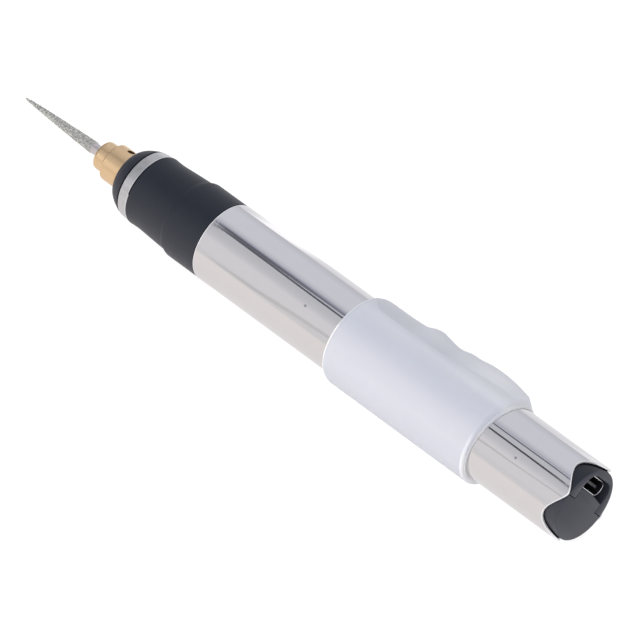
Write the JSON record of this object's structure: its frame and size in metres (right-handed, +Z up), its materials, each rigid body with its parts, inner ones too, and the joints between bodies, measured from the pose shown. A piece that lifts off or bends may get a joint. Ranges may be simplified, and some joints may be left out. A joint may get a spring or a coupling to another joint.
{
  "type": "electric engraving pen",
  "caption": "Slim cordless rotary engraving pen with a tapered diamond burr, brass chuck, chromed barrel, soft sleeve and USB-C tail.",
  "frame": {"origin": "bottom centre of the pen's bounding box, on the surface that the pen lies on", "axes": "+X along the pen from the burr's tip to the charging port, +Z up, pen lying on its soft sleeve"},
  "size_m": [0.163, 0.0222, 0.0216],
  "materials": {
    "burr_grit": "diamond grit on steel",
    "chuck_brass": "turned",
    "nose_black": "matte",
    "ring_steel": "brushed",
    "barrel_chrome": "polished",
    "sleeve_silicone": "translucent, satin",
    "plug_black": "satin",
    "steel": "drawn",
    "dark_steel": "blackened",
    "ferrite": "matte",
    "copper": "satin",
    "bronze": "sintered",
    "nylon": "matte",
    "carbon": "matte",
    "cell": "gloss wrap",
    "board": "solder mask",
    "chip": "matte",
    "lens": "clear",
    "button": "satin",
    "lead_red": "satin",
    "lead_black": "satin"
  },
  "bodies": {
    "pen": {"nose_grip": "nose_black", "nose_ring": "ring_steel", "barrel_tube": "barrel_chrome", "chassis_lower": "plug_black", "chassis_upper": "plug_black", "motor_can": "steel", "motor_end_cap": "nylon", "motor_terminal_1": "copper", "motor_terminal_2": "copper", "motor_bush_1": "bronze", "motor_bush_2": "bronze", "motor_magnet_1": "ferrite", "motor_magnet_2": "ferrite", "motor_brush_1": "carbon", "motor_brush_2": "carbon", "motor_screw_1": "dark_steel", "motor_screw_2": "dark_steel", "battery_cell": "cell", "battery_cap": "steel", "battery_tab_1": "steel", "battery_tab_2": "steel", "charge_board": "board", "board_chip_1": "chip", "board_chip_2": "chip", "board_chip_3": "chip", "board_chip_4": "chip", "board_chip_5": "chip", "board_screw_1": "dark_steel", "board_screw_2": "dark_steel", "usb_shell": "steel", "usb_tongue": "chip", "switch_board": "board", "switch_base": "chip", "status_led": "lens", "led_lens": "lens", "wire_motor_red": "lead_red", "wire_motor_black": "lead_black", "wire_battery_red": "lead_red", "wire_battery_black": "lead_black", "wire_switch_red": "lead_red"},
    "spindle": {"chuck_body": "chuck_brass", "chuck_screw_1": "dark_steel", "chuck_screw_2": "dark_steel", "chuck_screw_3": "dark_steel", "chuck_screw_4": "dark_steel", "motor_shaft": "steel", "rotor_core": "dark_steel", "rotor_winding_1": "copper", "rotor_winding_2": "copper", "rotor_winding_3": "copper", "commutator_hub": "nylon", "commutator_segment_1": "copper", "commutator_segment_2": "copper", "commutator_segment_3": "copper"},
    "burr": {"diamond_burr": "burr_grit"},
    "sleeve": {"grip_sleeve": "sleeve_silicone"},
    "button": {"button_cap": "button", "switch_plunger": "nylon"}
  },
  "joints": [
    {"name": "spindle_turn", "type": "hinge", "parent": "pen", "child": "spindle", "pos_m": [-0.0415, -0.00077, 0.0103], "axis": [1, 0, 0], "continuous": true},
    {"name": "burr_pull", "type": "slide", "parent": "spindle", "child": "burr", "axis": [-1, 0, 0], "range_m": [0, 0.0147]},
    {"name": "sleeve_slide", "type": "slide", "parent": "pen", "child": "sleeve", "axis": [1, 0, 0], "range_m": [-0.008, 0.016]},
    {"name": "button_press", "type": "slide", "parent": "pen", "child": "button", "axis": [0, -0.9808, 0.1949], "range_m": [0, 0.00035], "stiffness_N_per_m": 2000, "springref_m": -0.0003}
  ]
}
